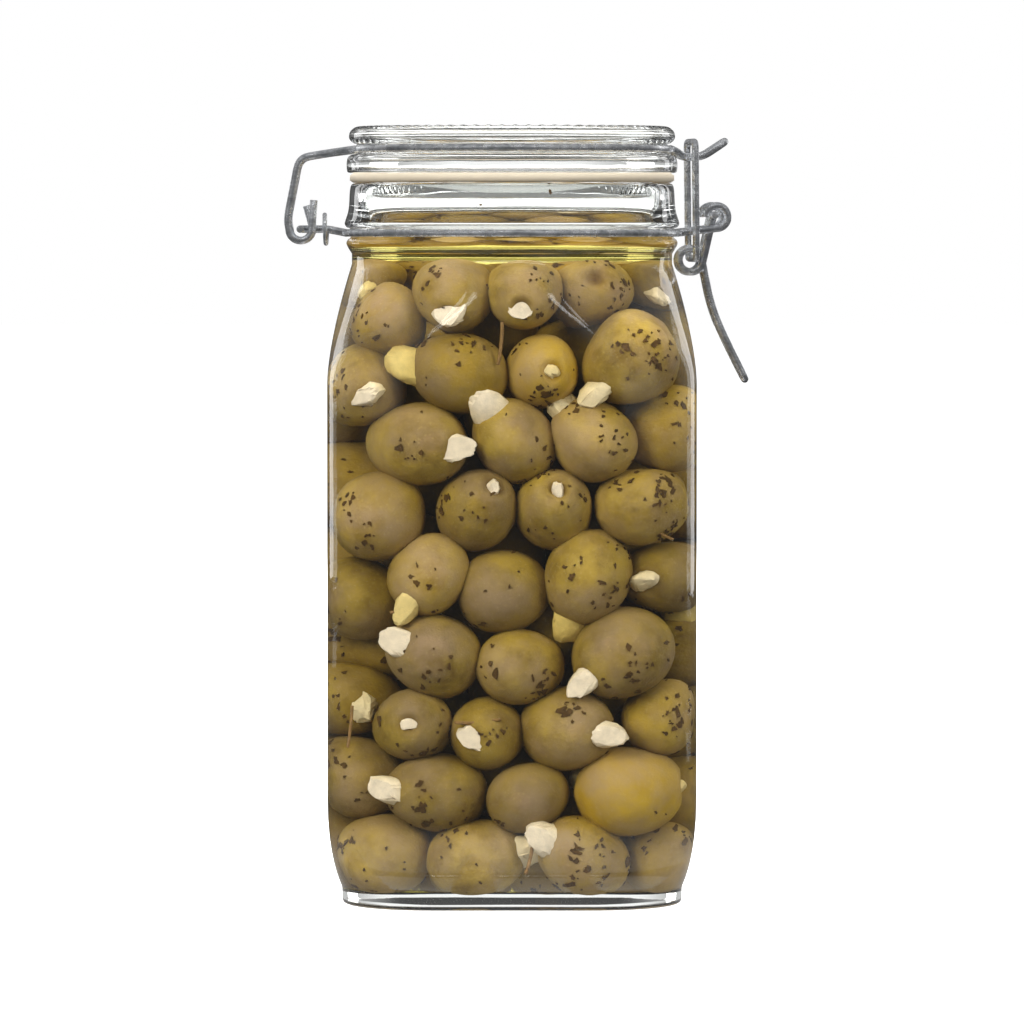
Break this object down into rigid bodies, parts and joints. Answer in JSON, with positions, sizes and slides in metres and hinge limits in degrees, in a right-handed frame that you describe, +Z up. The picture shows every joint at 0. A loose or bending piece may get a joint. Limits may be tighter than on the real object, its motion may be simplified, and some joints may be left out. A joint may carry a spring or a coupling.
{
  "type": "jar of olives",
  "caption": "Square glass preserving jar with a hinged glass lid and wire clasp, filled with stuffed green olives in oil.",
  "frame": {"origin": "middle of the base, on the surface that the jar stands on", "axes": "+Z up; -X towards the lid's hinge; +X towards the clasp, which is turned 6 degrees towards +Y; -Y towards the flat front"},
  "size_m": [0.1347, 0.1058, 0.2239],
  "materials": {
    "glass": "clear pressed glass",
    "gasket": "pale translucent rubber",
    "wire": "zinc-plated drawn wire",
    "oil": "clear yellow oil",
    "olive": "smooth pickled skin, wet with oil",
    "almond": "pale cut nut",
    "herb": "dried leaf flecks and thin twigs"
  },
  "bodies": {
    "jar_body": {"jar": "glass", "lid": "glass", "gasket": "gasket", "neck_wire_front": "wire", "neck_wire_back": "wire", "hinge_collar": "wire", "lid_wire": "wire", "oil": "oil", "olives": "olive"},
    "clasp_lever": {"lever": "wire"},
    "clasp_link": {"link": "wire"}
  },
  "joints": [
    {"name": "lever_pivot", "type": "hinge", "parent": "jar_body", "child": "clasp_lever", "pos_m": [0.05808, 0.0061, 0.1982], "axis": [0.1045, -0.9945, 0], "range_deg": [0, 110]},
    {"name": "link_pivot", "type": "hinge", "parent": "clasp_lever", "child": "clasp_link", "pos_m": [0.05241, 0.00551, 0.1856], "axis": [0.1045, -0.9945, 0], "range_deg": [-78, 0]}
  ],
  "couplings": [
    {"joint": "link_pivot", "follows": "lever_pivot", "ratio": -0.7}
  ]
}
